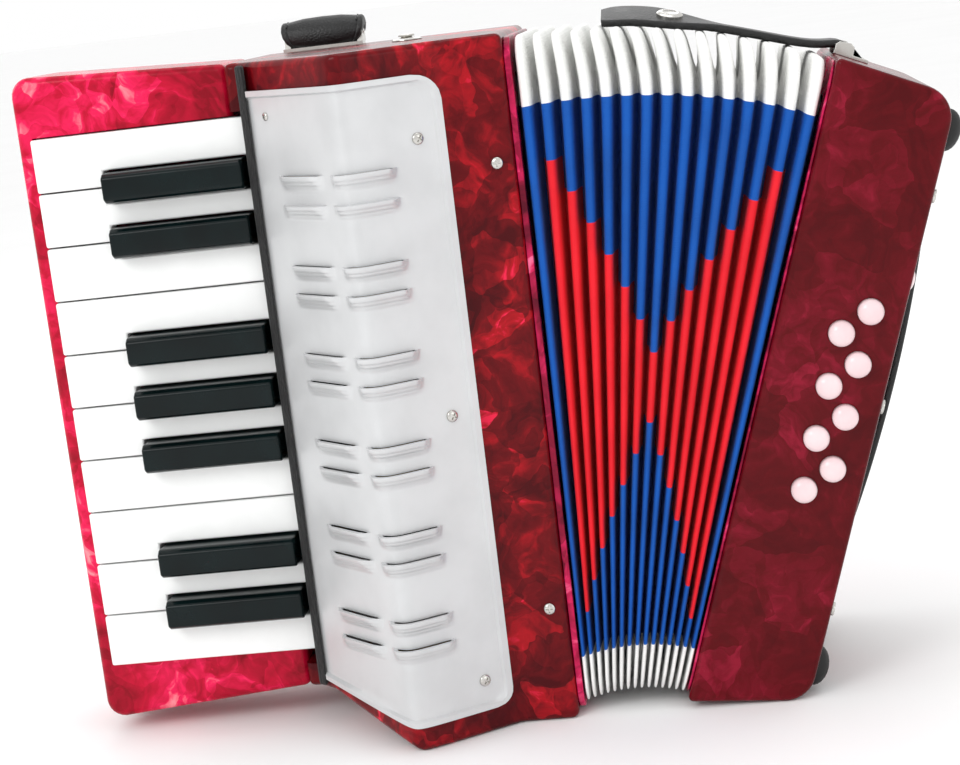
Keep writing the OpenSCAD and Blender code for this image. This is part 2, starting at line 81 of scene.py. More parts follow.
def lean(share):
    """Casing millimetres to row metres, for a part that has turned by that share of the fan."""
    closed = Matrix.Translation((bellows_side_x, pivot.y, 0)) @ Matrix.Scale(MM, 4)
    turn = Matrix.Rotation(fan_angle * share, 4, "Y")
    return Matrix.Translation(pivot) @ turn @ Matrix.Translation(-pivot) @ closed


TREBLE = lean(0)
BASS = lean(1)


def extent(node, place):
    """Lowest and highest corner of a CAD node, in casing millimetres."""
    back = place.inverted()
    points = np.array([back @ v.co for v in nodes[node].data.vertices])
    return points.min(axis=0), points.max(axis=0)


# ---------- camera, floor and lights
CAMERA_AT = (0.0695, -0.6778, 0.2298)
CAMERA_AZIMUTH = 6.80
CAMERA_ELEVATION = 10.53
CAMERA_ROLL = 6.93
CAMERA_LENS = 79.13


def add_camera():
    azimuth = math.radians(CAMERA_AZIMUTH)
    elevation = math.radians(CAMERA_ELEVATION)
    roll = math.radians(CAMERA_ROLL)
    forward = Vector((-math.sin(azimuth) * math.cos(elevation),
                      math.cos(azimuth) * math.cos(elevation), -math.sin(elevation)))
    level = forward.cross(Vector((0, 0, 1))).normalized()
    upright = level.cross(forward)
    right = math.cos(roll) * level - math.sin(roll) * upright
    up = math.sin(roll) * level + math.cos(roll) * upright
    data = bpy.data.cameras.new("camera")
    data.lens = CAMERA_LENS
    data.sensor_width = 36
    data.clip_start = 0.01
    camera = bpy.data.objects.new("camera", data)
    turn = Matrix((right, up, -forward)).transposed().to_4x4()
    camera.matrix_world = Matrix.Translation(CAMERA_AT) @ turn
    scene.collection.objects.link(camera)
    scene.camera = camera


def add_light(name, at, target, size, power, tint=(1, 1, 1)):
    data = bpy.data.lights.new(name, "AREA")
    data.shape = "RECTANGLE"
    data.size = size[0]
    data.size_y = size[1]
    data.energy = power
    data.color = tint
    light = bpy.data.objects.new(name, data)
    direction = Vector(target) - Vector(at)
    turn = direction.to_track_quat("-Z", "Y").to_matrix().to_4x4()
    light.matrix_world = Matrix.Translation(at) @ turn
    scene.collection.objects.link(light)


def add_studio():
    world = bpy.data.worlds.new("studio")
    world.use_nodes = True
    background = world.node_tree.nodes["Background"]
    background.inputs["Color"].default_value = (1, 1, 1, 1)
    background.inputs["Strength"].default_value = 1.0
    scene.world = world
    middle = (0, 0, 0.11)
    add_light("key_light", (-0.75, -1.1, 0.95), middle, (0.6, 0.6), 6)
    add_light("fill_light", (1.15, -0.9, 0.55), middle, (0.7, 0.7), 1.5)
    add_light("top_light", (0.05, 0.1, 1.25), middle, (0.9, 0.5), 2)
    add_light("back_light", (-0.2, 1.2, 0.8), middle, (0.9, 0.6), 2)
    scene.view_settings.view_transform = "Standard"
    scene.view_settings.look = "None"


add_camera()
add_studio()


# ---------- materials
def tone(red, green, blue):
    """A colour as seen on a screen, 0 to 255, as the shader wants it."""
    def channel(value):
        value /= 255
        return value / 12.92 if value <= 0.04045 else ((value + 0.055) / 1.055) ** 2.4
    return channel(red), channel(green), channel(blue), 1


class Surface:
    """A material under construction, with short names for the nodes that it uses."""

    def __init__(self, name, roughness, **sockets):
        self.material = bpy.data.materials.new(name)
        self.material.use_nodes = True
        self.tree = self.material.node_tree
        self.shader = self.tree.nodes["Principled BSDF"]
        self.shader.inputs["Roughness"].default_value = roughness
        for socket, value in sockets.items():
            self.shader.inputs[socket.replace("_", " ")].default_value = value
        self.place = self.tree.nodes.new("ShaderNodeTexCoord").outputs["Object"]

    def node(self, kind, **inputs):
        made = self.tree.nodes.new("ShaderNode" + kind)
        for name, value in inputs.items():
            self.feed(made.inputs[name.replace("_", " ")], value)
        return made

    def feed(self, socket, value):
        if isinstance(value, bpy.types.NodeSocket):
            self.tree.links.new(value, socket)
        else:
            socket.default_value = value

    def stretched(self, x, y, z):
        mapping = self.node("Mapping", Vector=self.place)
        mapping.inputs["Scale"].default_value = (x, y, z)
        return mapping.outputs["Vector"]

    def noise(self, scale, detail=3, vector=None, distortion=0, roughness=0.5):
        return self.node("TexNoise", Vector=vector or self.place, Scale=scale, Detail=detail,
                         Distortion=distortion, Roughness=roughness)

    def math(self, operation, a, b):
        made = self.tree.nodes.new("ShaderNodeMath")
        made.operation = operation
        self.feed(made.inputs[0], a)
        self.feed(made.inputs[1], b)
        return made.outputs[0]

    def ramp(self, value, stops):
        made = self.node("ValToRGB", Fac=value)
        elements = made.color_ramp.elements
        while len(elements) < len(stops):
            elements.new(0.5)
        for element, (at, colour) in zip(elements, stops):
            element.position = at
            element.color = colour
        return made.outputs["Color"]

    def colour(self, value):
        self.feed(self.shader.inputs["Base Color"], value)

    def rough(self, value, low, high):
        """Roughness between low and high, following a value from 0 to 1."""
        span = self.node("MapRange", Value=value)
        span.inputs["To Min"].default_value = low
        span.inputs["To Max"].default_value = high
        self.feed(self.shader.inputs["Roughness"], span.outputs["Result"])

    def bump(self, height, distance, strength=1):
        made = self.node("Bump", Height=height)
        made.inputs["Strength"].default_value = strength
        made.inputs["Distance"].default_value = distance
        self.feed(self.shader.inputs["Normal"], made.outputs["Normal"])


def pearloid(name, deep, mid, bright, pale, seed, shift=0):
    """Pearl celluloid: crumpled patches, each with silky streaks of its own, under a clear coat."""
    s = Surface(name, 0.25, Specular_IOR_Level=0.12, Coat_Weight=0.05, Coat_Roughness=0.05)
    shifted = s.node("Mapping", Vector=s.place)
    shifted.inputs["Location"].default_value = (seed, seed * 0.7, -seed)
    warp = s.noise(48, 3, shifted.outputs["Vector"])
    drift = s.node("VectorMath")
    drift.operation = "MULTIPLY_ADD"
    s.feed(drift.inputs[0], warp.outputs["Color"])
    drift.inputs[1].default_value = (0.02, 0.02, 0.02)
    s.feed(drift.inputs[2], shifted.outputs["Vector"])
    cells = s.node("TexVoronoi", Vector=drift.outputs[0], Scale=62)
    patch = s.node("SeparateColor", Color=cells.outputs["Color"])
    fine = s.node("TexVoronoi", Vector=drift.outputs[0], Scale=150)
    flake = s.node("SeparateColor", Color=fine.outputs["Color"]).outputs[1]
    silk = s.noise(85, 5, drift.outputs[0], 1.6, 0.55).outputs["Fac"]
    drifts = s.noise(24, 2, shifted.outputs["Vector"], 0.5).outputs["Fac"]
    value = s.math("ADD", s.math("MULTIPLY", patch.outputs[0], 0.2),
                   s.math("MULTIPLY", flake, 0.12))
    value = s.math("ADD", value, s.math("MULTIPLY", silk, 0.6))
    value = s.math("ADD", value, s.math("MULTIPLY", drifts, 0.6))
    stops = [at + shift for at in (0.58, 0.76, 0.9, 1.0)]
    s.colour(s.ramp(value, list(zip(stops, (deep, mid, bright, pale)))))
    s.rough(silk, 0.14, 0.32)
    s.bump(s.noise(420, 3).outputs["Fac"], 0.00006, 0.5)
    return s.material


def metal(name, colour, low, high, scale, metallic=1.0):
    """Plated or painted metal with faint wear."""
    s = Surface(name, low, Metallic=metallic)
    wear = s.noise(scale, 5).outputs["Fac"]
    worn = tuple(0.93 * c for c in colour[:3]) + (1,)
    s.colour(s.ramp(wear, [(0.35, worn), (0.6, colour)]))
    s.rough(wear, low, high)
    s.bump(s.noise(900, 3, s.stretched(1, 1, 0.15)).outputs["Fac"], 0.00003, 0.4)
    return s.material


def moulded(name, colour, shade, low, high, coat, gloss):
    """Polished plastic with faint mottling and handling marks."""
    s = Surface(name, low, Coat_Weight=coat, Coat_Roughness=0.05, Specular_IOR_Level=gloss)
    mottle = s.noise(70, 4).outputs["Fac"]
    s.colour(s.ramp(mottle, [(0.35, shade), (0.65, colour)]))
    s.rough(s.noise(240, 5).outputs["Fac"], low, high)
    s.bump(s.noise(500, 2).outputs["Fac"], 0.00004, 0.35)
    return s.material


def bellows_cloth(name, colour, shade):
    """Bookbinding cloth over card: a fine weave, slightly worn and soiled."""
    s = Surface(name, 0.6, Specular_IOR_Level=0.2, Sheen_Weight=0.03, Sheen_Roughness=0.5)
    soil = s.noise(45, 5).outputs["Fac"]
    s.colour(s.ramp(soil, [(0.3, shade), (0.6, colour)]))
    s.rough(soil, 0.5, 0.72)
    weave = s.node("TexWave", Vector=s.place, Scale=420)
    weave.bands_direction = "Z"
    fibres = s.noise(1400, 2, s.stretched(1, 0.4, 1)).outputs["Fac"]
    s.bump(s.math("ADD", s.math("MULTIPLY", weave.outputs["Fac"], 0.5), fibres), 0.00012, 0.6)
    return s.material


def leather(name, colour, shade):
    """Grained black vinyl."""
    s = Surface(name, 0.42)
    grain = s.node("TexVoronoi", Vector=s.place, Scale=900)
    grain.feature = "DISTANCE_TO_EDGE"
    creases = s.noise(130, 5, None, 0.6).outputs["Fac"]
    s.colour(s.ramp(creases, [(0.35, shade), (0.7, colour)]))
    s.rough(creases, 0.34, 0.55)
    s.bump(s.math("ADD", grain.outputs["Distance"], s.math("MULTIPLY", creases, 0.6)), 0.00025, 0.7)
    return s.material


def felt(name, colour, shade):
    s = Surface(name, 0.95, Sheen_Weight=0.12, Sheen_Roughness=0.6)
    fibres = s.noise(700, 6, s.stretched(1, 1, 0.35), 1.5).outputs["Fac"]
    s.colour(s.ramp(fibres, [(0.35, shade), (0.7, colour)]))
    s.bump(fibres, 0.0006, 0.8)
    return s.material


def rubber(name, colour, shade):
    s = Surface(name, 0.6)
    specks = s.noise(600, 4).outputs["Fac"]
    s.colour(s.ramp(specks, [(0.4, shade), (0.7, colour)]))
    s.rough(specks, 0.5, 0.75)
    s.bump(specks, 0.0002, 0.5)
    return s.material


def timber(name, colour, shade, along):
    """Straight-grained wood; along is the grain's direction as stretched scales."""
    s = Surface(name, 0.55)
    grain = s.noise(260, 6, s.stretched(*along), 0.6).outputs["Fac"]
    s.colour(s.ramp(grain, [(0.35, shade), (0.65, colour)]))
    s.rough(grain, 0.45, 0.7)
    s.bump(grain, 0.00015, 0.5)
    return s.material


materials = {
    "casing": pearloid("casing_pearl", tone(70, 2, 8), tone(106, 8, 16), tone(168, 16, 28),
                       tone(228, 34, 70), 0.31, 0.04),
    "bass": pearloid("bass_pearl", tone(76, 2, 8), tone(90, 4, 13), tone(108, 8, 25),
                     tone(136, 18, 42), 1.9),
    "housing": pearloid("housing_pearl", tone(136, 6, 28), tone(190, 14, 50),
                        tone(236, 32, 88), tone(248, 140, 150), 0.9),
    "frame": pearloid("frame_pearl", tone(84, 8, 30), tone(142, 16, 52), tone(206, 32, 88),
                      tone(240, 110, 150), 0.4),
    "grille": metal("grille_silver", tone(208, 209, 210), 0.3, 0.4, 60, 0.3),
    "nickel": metal("nickel_plate", tone(205, 203, 198), 0.14, 0.32, 260),
    "steel": metal("axle_steel", tone(170, 170, 172), 0.25, 0.4, 300),
    "white_key": moulded("white_key_plastic", tone(248, 249, 248), tone(243, 244, 243),
                         0.12, 0.2, 0.3, 0.5),
    "black_key": moulded("black_key_plastic", tone(7, 22, 23), tone(4, 13, 14),
                         0.14, 0.24, 0.04, 0.18),
    "button": moulded("button_plastic", tone(240, 216, 218), tone(232, 203, 206),
                      0.15, 0.25, 0.2, 0.4),
    "felt": felt("black_felt", tone(13, 13, 14), tone(4, 4, 5)),
    "vinyl": leather("black_vinyl", tone(15, 16, 17), tone(5, 6, 7)),
    "thread": leather("black_thread", tone(44, 44, 46), tone(26, 26, 28)),
    "rubber": rubber("black_rubber", tone(16, 17, 17), tone(6, 7, 7)),
    "blue_cloth": bellows_cloth("bellows_blue", tone(10, 84, 172), tone(9, 74, 154)),
    "red_cloth": bellows_cloth("bellows_red", tone(230, 30, 44), tone(212, 22, 36)),
    "white_cloth": bellows_cloth("bellows_white", tone(243, 243, 241), tone(232, 233, 230)),
    "plywood": timber("plywood", tone(205, 170, 120), tone(168, 128, 82), (1, 1, 0.06)),
    "reed_wood": timber("reed_wood", tone(190, 148, 100), tone(150, 108, 66), (1, 1, 0.08)),
}


# ---------- mesh helpers
def new_object(name, points, faces):
    mesh = bpy.data.meshes.new(name)
    mesh.from_pydata([tuple(p) for p in points], [], faces)
    mesh.update()
    obj = bpy.data.objects.new(name, mesh)
    scene.collection.objects.link(obj)
    return obj


def apply_modifiers(obj):
    graph = bpy.context.evaluated_depsgraph_get()
    mesh = bpy.data.meshes.new_from_object(obj.evaluated_get(graph))
    obj.modifiers.clear()
    obj.data = mesh


def outward(obj):
    bm = bmesh.new()
    bm.from_mesh(obj.data)
    bmesh.ops.recalc_face_normals(bm, faces=bm.faces)
    bm.to_mesh(obj.data)
    bm.free()


def bevel(obj, width, segments=3, angle=30):
    made = obj.modifiers.new("bevel", "BEVEL")
    made.width = width
    made.segments = segments
    made.limit_method = "ANGLE"
    made.angle_limit = math.radians(angle)
    made.use_clamp_overlap = False
    apply_modifiers(obj)


def shade(obj, angle=40):
    """Smooth shading, with flat faces kept flat and edges sharper than angle kept sharp."""
    for polygon in obj.data.polygons:
        polygon.use_smooth = True
    obj.data.set_sharp_from_angle(angle=math.radians(angle))
    weighted = obj.modifiers.new("normals", "WEIGHTED_NORMAL")
    weighted.keep_sharp = True
    apply_modifiers(obj)


def prism(name, outline, low, high, axis):
    """Extrudes an outline, given in the two other axes, from low to high along axis."""
    def place(point, depth):
        values = list(point)
        values.insert("xyz".index(axis), depth)
        return values
    count = len(outline)
    points = [place(p, low) for p in outline] + [place(p, high) for p in outline]
    faces = [tuple(range(count))[::-1], tuple(range(count, 2 * count))]
    for i in range(count):
        j = (i + 1) % count
        faces.append((i, j, count + j, count + i))
    obj = new_object(name, points, faces)
    outward(obj)
    return obj


def box(name, low, high):
    outline = [(low[0], low[1]), (high[0], low[1]), (high[0], high[1]), (low[0], high[1])]
    return prism(name, outline, low[2], high[2], "z")


def cut(obj, *cutters):
    for cutter in cutters:
        boolean = obj.modifiers.new("cut", "BOOLEAN")
        boolean.operation = "DIFFERENCE"
        boolean.solver = "EXACT"
        boolean.object = cutter
        apply_modifiers(obj)
        bpy.data.objects.remove(cutter)


def arc(centre, radius, start, end, steps):
    """Points on an arc, from one angle to another in degrees, both ends included."""
    angles = [math.radians(start + (end - start) * i / steps) for i in range(steps + 1)]
    return [(centre[0] + radius * math.cos(a), centre[1] + radius * math.sin(a)) for a in angles]


def rounded_rectangle(x0, y0, x1, y1, radius):
    outline = arc((x1 - radius, y1 - radius), radius, 0, 90, 6)
    outline += arc((x0 + radius, y1 - radius), radius, 90, 180, 6)
    outline += arc((x0 + radius, y0 + radius), radius, 180, 270, 6)
    return outline + arc((x1 - radius, y0 + radius), radius, 270, 360, 6)


def finish_piece(obj, material, body, stands_for, place=None):
    """Gives a piece its material and its place in the frame."""
    if place is not None:
        obj.data.transform(place)
    obj.data.materials.clear()
    for name in [material] if isinstance(material, str) else material:
        obj.data.materials.append(materials[name])
    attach(obj, body)
    if stands_for:
        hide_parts(*stands_for)
    return obj


def softened(name, node, width, material, body, segments=2):
    """The CAD node's own shape with its edges rounded."""
    source = nodes[node].data
    obj = new_object(name, [v.co for v in source.vertices],
                     [tuple(p.vertices) for p in source.polygons])
    bm = bmesh.new()
    bm.from_mesh(obj.data)
    bmesh.ops.remove_doubles(bm, verts=bm.verts, dist=2e-6)
    bmesh.ops.dissolve_limit(bm, angle_limit=math.radians(1), verts=bm.verts, edges=bm.edges)
    bm.to_mesh(obj.data)
    bm.free()
    bevel(obj, width * MM, segments, 32)
    shade(obj, 40)
    return finish_piece(obj, material, body, [node])


class Shape:
    """Collects many small solids into one mesh, with a material number for each."""

    def __init__(self):
        self.points = []
        self.faces = []
        self.numbers = []

    def add(self, points, faces, number=0):
        start = len(self.points)
        self.points += [tuple(p) for p in points]
        self.faces += [tuple(start + i for i in face) for face in faces]
        self.numbers += [number] * len(faces)

    def add_mesh(self, mesh, place, number=0):
        points = [place @ v.co for v in mesh.vertices]
        self.add(points, [tuple(p.vertices) for p in mesh.polygons], number)

    def grid(self, rows, closed_across=False, capped=False, number=0):
        """Quads between rows of points of equal length."""
        count = len(rows[0])
        across = count if closed_across else count - 1
        faces = []
        for r in range(len(rows) - 1):
            for c in range(across):
                d = (c + 1) % count
                faces.append((r * count + c, r * count + d,
                              (r + 1) * count + d, (r + 1) * count + c))
        if capped:
            faces.append(tuple(range(count))[::-1])
            last = (len(rows) - 1) * count
            faces.append(tuple(range(last, last + count)))
        self.add([p for row in rows for p in row], faces, number)

    def add_object(self, obj, number=0):
        self.add_mesh(obj.data, Matrix.Identity(4), number)
        bpy.data.objects.remove(obj)

    def lathe(self, profile, at, direction, segments=40, number=0):
        """Revolves (radius, height) pairs about direction; the first and last close the ends."""
        axis = Vector(direction).normalized()
        side = axis.orthogonal().normalized()
        other = axis.cross(side)
        rows = []
        for radius, height in profile:
            ring = []
            for i in range(segments):
                a = 2 * math.pi * i / segments
                spoke = side * math.cos(a) + other * math.sin(a)
                ring.append(Vector(at) + axis * height + spoke * radius)
            rows.append(ring)
        self.grid(rows, closed_across=True, capped=True, number=number)

    def object(self, name):
        obj = new_object(name, self.points, self.faces)
        outward(obj)
        return obj


def turned_to(direction, at):
    """Places a shape that was made along +Z so that it points along direction."""
    turn = Vector((0, 0, 1)).rotation_difference(Vector(direction)).to_matrix().to_4x4()
    return Matrix.Translation(at) @ turn


def screw_mesh(radius, height):
    """A low domed head with a cross recess."""
    head = Shape()
    profile = [(radius, -0.3), (radius, height * 0.35), (radius * 0.93, height * 0.6),
               (radius * 0.75, height * 0.84), (radius * 0.45, height * 0.97), (0.05, height)]
    head.lathe(profile, (0, 0, 0), (0, 0, 1), 28)
    obj = head.object("screw_head")
    arm = radius * 0.6
    half = radius * 0.13
    floor = height * 0.35
    cut(obj, box("slot_a", (-arm, -half, floor), (arm, half, height + 1)),
        box("slot_b", (-half, -arm, floor), (half, arm, height + 1)))
    mesh = obj.data.copy()
    bpy.data.objects.remove(obj)
    return mesh


SCREW = screw_mesh(1.9, 1.1)

# ---------- treble casing and keyboard
CASING_LOW, CASING_HIGH = extent("treble_casing", TREBLE)
HEIGHT = CASING_HIGH[2]
LEFT = CASING_LOW[0]
BACK = CASING_HIGH[1]
FRONT = extent("bass_casing", BASS)[0][1]
FACET_START = (-85, -21.6)
RIDGE = (-48.5, CASING_LOW[1])
FACET_END = (-18, FRONT)
RIDGE_SOFTNESS = 4.5
FOOT_RISE = 12
RISE_X = -79
WALL = 3


def front_y(x):
    """The front of the treble casing, with the fold between its two facets softened."""
    left = (RIDGE[1] - FACET_START[1]) / (RIDGE[0] - FACET_START[0])
    right = (FACET_END[1] - RIDGE[1]) / (FACET_END[0] - RIDGE[0])
    a = RIDGE[1] + left * (x - RIDGE[0])
    b = RIDGE[1] + right * (x - RIDGE[0])
    return (a + b + math.hypot(a - b, RIDGE_SOFTNESS)) / 2


def foot_z(x):
    """The lower edge of the treble casing, which rises towards the keyboard."""
    share = (RIDGE[0] - x) / (RIDGE[0] - RISE_X)
    return FOOT_RISE * min(max(share, 0), 1)


def treble_shell():
    fold = [RIDGE[0] + d for d in (-26, -18, -12, -8, -5, -2.5, 0, 2.5, 5, 8, 12, 18)]
    ring = [(0, BACK), (RIDGE[0], BACK), (RISE_X, BACK), (LEFT, BACK), (LEFT, FACET_START[1]),
            FACET_START, (RISE_X, front_y(RISE_X))]
    ring += [(x, front_y(x)) for x in fold] + [FACET_END, (0, FRONT)]
    count = len(ring)
    points = [(x, y, foot_z(x)) for x, y in ring] + [(x, y, HEIGHT) for x, y in ring]
    faces = [tuple(range(count, 2 * count))]
    for i in range(count):
        j = (i + 1) % count
        faces.append((i, j, count + j, count + i))
    spans = [(RIDGE[0], 1), (RISE_X, RIDGE[0]), (LEFT - 1, RISE_X)]
    for low, high in spans:
        faces.append(tuple(i for i in range(count) if low <= ring[i][0] <= high))
    obj = new_object("treble_shell", points, faces)
    outward(obj)
    bevel(obj, 2.2, 4, 25)
    inner = LEFT + WALL
    chamber = [(1, -1), (inner, -1), (inner, -18), (RIDGE[0], RIDGE[1] + 1.8 * WALL),
               (FACET_END[0], FRONT + WALL), (1, FRONT + WALL)]
    air = [(inner, FOOT_RISE + WALL), (RISE_X, FOOT_RISE + WALL), (RIDGE[0], WALL), (1, WALL),
           (1, HEIGHT - WALL), (inner, HEIGHT - WALL)]
    cut(obj, prism("chamber", chamber, 17, HEIGHT - 13, "z"),
        prism("air", air, -1.01, BACK - WALL, "y"),
        box("front_air", (-14, FRONT + WALL, WALL), (1, -1, HEIGHT - WALL)),
        box("opening", (LEFT - 1, RIDGE[1] - 1, 20), (-26, -9, HEIGHT - 15)))
    shade(obj, 35)
    finish_piece(obj, "casing", "treble", ["treble_casing"], TREBLE)


def keyboard_slab():
    low, high = extent("keyboard_housing", TREBLE)
    key_low = extent("white_key_10", TREBLE)[0]
    key_high = extent("white_key_01", TREBLE)[1]
    radius = 6
    left = low[0] + radius
    outline = arc((left, low[2] + radius), radius, 180, 270, 6)
    outline += [(LEFT, FOOT_RISE - 1), (LEFT, HEIGHT)]
    outline += arc((left, high[2] - radius), radius, 90, 180, 6)
    obj = prism("keyboard_slab", outline, low[1], high[1], "y")
    bevel(obj, 2.6, 4, 35)
    gap = 0.4
    cut(obj, box("recess", (key_low[0] - gap, low[1] - 1, key_low[2] - gap),
                 (LEFT + 1, -9, key_high[2] + gap)))
    shade(obj, 35)
    finish_piece(obj, "housing", "treble", ["keyboard_housing"], TREBLE)


def keys():
    for node in sorted(nodes):
        for kind, width in (("white_key", 0.7), ("black_key", 0.8)):
            if node.startswith(kind):
                softened("visual_" + node, node, width, kind, node, 3)


# ---------- grille
GRILLE_LOW, GRILLE_HIGH = extent("grille", TREBLE)
SHEET = 1.5
RIM_WIDTH = 1.7
RIM_HEIGHT = 1.0
CORNER_HIGH = 8
CORNER_LOW = 5
LOUVRE_PITCH = 27.6
LOUVRE_MIDDLE = 106
LOUVRE_OFFSET = 4.4
HOOD_HEIGHT = 2.6
HOOD_LENGTH = 5.2
HOOD_END = 2.6
RIB_DEPTH = 0.10
RIB_PITCH = 1.3
LOUVRES = [(-72, -56.5), (-53, -34.5)]
RIM_STEPS = [0, 0.5, 1.2, RIM_WIDTH, 2.3, 3.6, 5.4, 8]
LOWER_EDGE_RISE = 8
SLANTED_BELOW = 30
CORNER_ZONE = 14


def louvre_rows():
    """Heights of the upper edges of the louvres."""
    return [LOUVRE_MIDDLE + (c - 2.5) * LOUVRE_PITCH + side * LOUVRE_OFFSET + 1.2
            for c in range(6) for side in (-1, 1)]


def hood(x, z, top):
    """How far a louvre's hood, open along its upper edge at top, stands out."""
    if z > top or z < top - HOOD_LENGTH:
        return 0
    best = 0
    for low, high in LOUVRES:
        end = min(x - low, high - x) / HOOD_END
        if end > 0:
            best = max(best, math.sin(min(end, 1) * math.pi / 2))
    down = (top - z) / HOOD_LENGTH
    slope = 1 - down * down * (3 - 2 * down)
    ribs = 0
    if 0.7 < top - z < 3.9:
        ribs = RIB_DEPTH * math.cos(2 * math.pi * (top - z) / RIB_PITCH)
    return best * (HOOD_HEIGHT * slope + ribs)


def edge_distance(x, z, low_z):
    """Distance of a point on the grille from its upper, right or lower edge."""
    right = GRILLE_HIGH[0] - x
    top = GRILLE_HIGH[2] - z
    bottom = z - low_z
    distance = min(right, top, bottom)
    for radius, side in ((CORNER_HIGH, top), (CORNER_LOW, bottom)):
        if right < radius and side < radius:
            distance = radius - math.hypot(radius - right, radius - side)
    return distance


def grille_levels(tops):
    """Heights of the rows of points, close together over the louvres and at the rim."""
    levels = set()
    for top in tops:
        levels |= {round(top - 0.325 * i, 3) for i in range(17)} | {round(top + 0.03, 3)}
        levels.add(round(top + 1.2, 3))
    levels |= {GRILLE_LOW[2] + r for r in RIM_STEPS} | {GRILLE_HIGH[2] - r for r in RIM_STEPS}
    levels |= {GRILLE_LOW[2] + 14, GRILLE_HIGH[2] - 12, GRILLE_HIGH[2] - 17}
    return sorted(levels)


def on_grille(x, z):
    """Shifts a point of the grid so that rows and columns end on the outline of the grille."""
    rise = max(0, (RIDGE[0] - x) / (RIDGE[0] - GRILLE_LOW[0]))
    low_z = GRILLE_LOW[2] + LOWER_EDGE_RISE * rise
    height = z
    if z < SLANTED_BELOW:
        stretch = (SLANTED_BELOW - low_z) / (SLANTED_BELOW - GRILLE_LOW[2])
        height = low_z + (z - GRILLE_LOW[2]) * stretch
    right = GRILLE_HIGH[0]
    for radius, side in ((CORNER_HIGH, GRILLE_HIGH[2] - z), (CORNER_LOW, height - low_z)):
        if side < radius:
            drop = radius - max(side, 0)
            right = GRILLE_HIGH[0] - radius + math.sqrt(radius**2 - drop**2)
    start = GRILLE_HIGH[0] - CORNER_ZONE
    across = x
    if x > start:
        across = start + (x - start) * (right - start) / (GRILLE_HIGH[0] - start)
    return across, height, low_z


def grille_point(x, z, low_z, tops):
    """The point of the front face at x and z, and how far a louvre raises it."""
    slope = (front_y(x + 0.2) - front_y(x - 0.2)) / 0.4
    normal = Vector((slope, -1, 0)).normalized()
    share = min(max((RIM_WIDTH + 0.5 - edge_distance(x, z, low_z)) / 0.5, 0), 1)
    louvre = max(hood(x, z, top) for top in tops)
    lift = RIM_HEIGHT * share
    return Vector((x, front_y(x) - SHEET, z)) + normal * (lift + louvre), louvre


def grille():
    """The bent sheet with a raised rim; the upper edge of each louvre's hood is left open."""
    tops = louvre_rows()
    levels = grille_levels(tops)
    columns = list(np.arange(GRILLE_LOW[0], GRILLE_HIGH[0] - 9, 0.9))
    columns += [GRILLE_HIGH[0] - r for r in reversed(RIM_STEPS)]
    points = []
    raised = []
    for z in levels:
        for x in columns:
            point, louvre = grille_point(*on_grille(x, z), tops)
            points.append(point)
            raised.append(louvre)
    count = len(columns)
    faces = []
    for r in range(len(levels) - 1):
        for c in range(count - 1):
            low = r * count + c
            high = low + count
            corner = (low, low + 1, high + 1, high)
            step = min(raised[corner[0]] - raised[corner[3]], raised[corner[1]] - raised[corner[2]])
            gap = levels[r + 1] - levels[r]
            if step > 0.5 and gap < 0.1:
                continue
            faces.append(corner)
    obj = new_object("grille_plate", points, faces)
    thick = obj.modifiers.new("sheet", "SOLIDIFY")
    thick.thickness = 1.1
    thick.offset = -1
    apply_modifiers(obj)
    shade(obj, 38)
    finish_piece(obj, "grille", "treble", ["grille"], TREBLE)


# ---------- screws and pins
GRILLE_SCREWS = (18, 103, 188)
PINS = (37, 177.5)
SMALL_SCREW = (-75, 199)
SMALL_SCREW_SCALE = 0.7


def treble_screws():
    """Domed heads on the grille, and the pins that hold the bellows, front and back."""
    shape = Shape()
    x = GRILLE_HIGH[0] - 7.5
    slope = (FACET_END[1] - RIDGE[1]) / (FACET_END[0] - RIDGE[0])
    normal = (slope, -1, 0)
    for z in GRILLE_SCREWS:
        shape.add_mesh(SCREW, turned_to(normal, (x, front_y(x) - SHEET, z)))
    left_x, left_z = SMALL_SCREW
    left_slope = (RIDGE[1] - FACET_START[1]) / (RIDGE[0] - FACET_START[0])
    place = turned_to((left_slope, -1, 0), (left_x, front_y(left_x) - SHEET, left_z))
    shape.add_mesh(SCREW, place @ Matrix.Scale(SMALL_SCREW_SCALE, 4))
    for z in PINS:
        shape.add_mesh(SCREW, turned_to((0, -1, 0), (-5.5, FRONT, z)))
        shape.add_mesh(SCREW, turned_to((0, 1, 0), (-5.5, BACK, z)))
    obj = shape.object("treble_screw_heads")
    shade(obj)
    finish_piece(obj, "nickel", "treble", ["treble_screws"], TREBLE)


# ---------- bellows
BASS_LOW = extent("bass_casing", BASS)[0]
PLEAT_FIRST = extent("pleat_01", lean(1 / (CRESTS + 1)))
PLEAT_LAST = extent("pleat_15", lean(CRESTS / (CRESTS + 1)))
FRAME_TREBLE = 2.0
FRAME_BASS = 0.8
# X of the two ends of the bellows, between its frames
BELLOWS_START = FRAME_TREBLE
BELLOWS_END = BASS_LOW[0] - FRAME_BASS
CORNER = 8
WHITE_BAND = 16.5
TOP_BAND = (21.5, 17)
DIAMOND_MIDDLE = 105
DIAMOND_TIP = 11
DIAMOND_STEP = 10
TOP_SWEEP = 0.05
SWEPT_HEIGHT = 24
# one pleat across: place from its crest in pleats, and depth below the crest
FOLD = [(-0.5, 13), (-0.42, 11.5), (-0.34, 8), (-0.29, 4.2), (-0.25, 1.8), (-0.2, 0.6),
        (-0.11, 0.1), (0, 0), (0.11, 0.1), (0.2, 0.6), (0.25, 1.8), (0.29, 4.2), (0.34, 8),
        (0.42, 11.5)]
BLUE, RED, WHITE = 0, 1, 2


